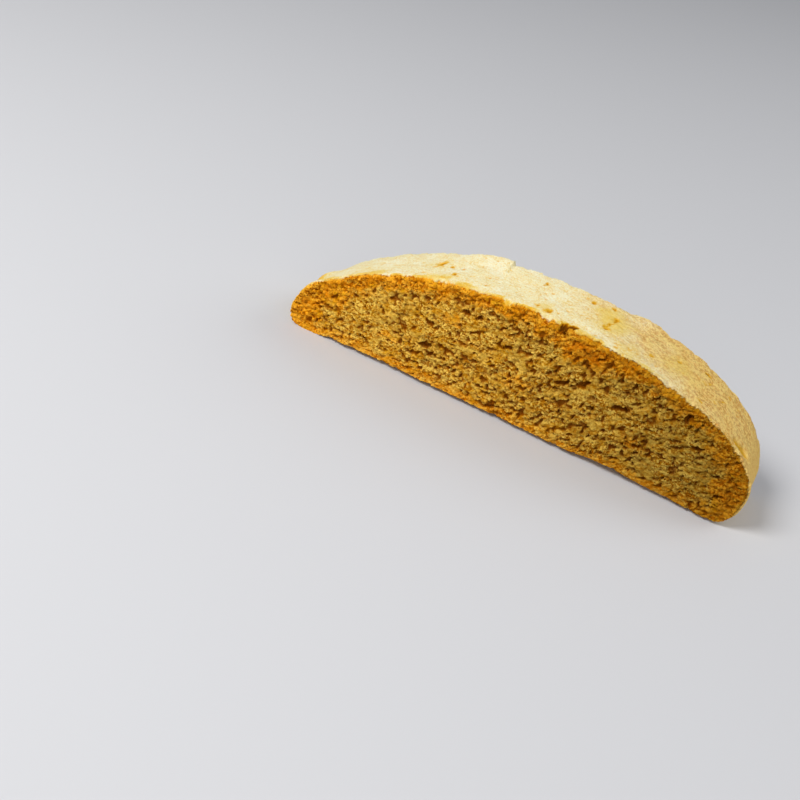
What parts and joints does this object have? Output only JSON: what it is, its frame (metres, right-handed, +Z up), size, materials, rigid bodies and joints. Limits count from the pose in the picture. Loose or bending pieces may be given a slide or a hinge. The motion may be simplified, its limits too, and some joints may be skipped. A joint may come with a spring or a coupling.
{
  "type": "biscotto",
  "caption": "Crisp arched slice of twice-baked biscuit with a flat base, two crumbly cut faces and a thin cracked crust.",
  "frame": {"origin": "centre of the base of the slice's box, on the surface it rests on", "axes": "+X along the slice towards its blunter nose, -Y out of the front cut face, +Z up from the flat base"},
  "size_m": [0.1254, 0.0204, 0.0333],
  "materials": {
    "biscuit": "dry matt crumb in golden brown, under a pale cream crust that turns tan at one end"
  },
  "bodies": {
    "root": {"biscotto": "biscuit"}
  },
  "joints": []
}
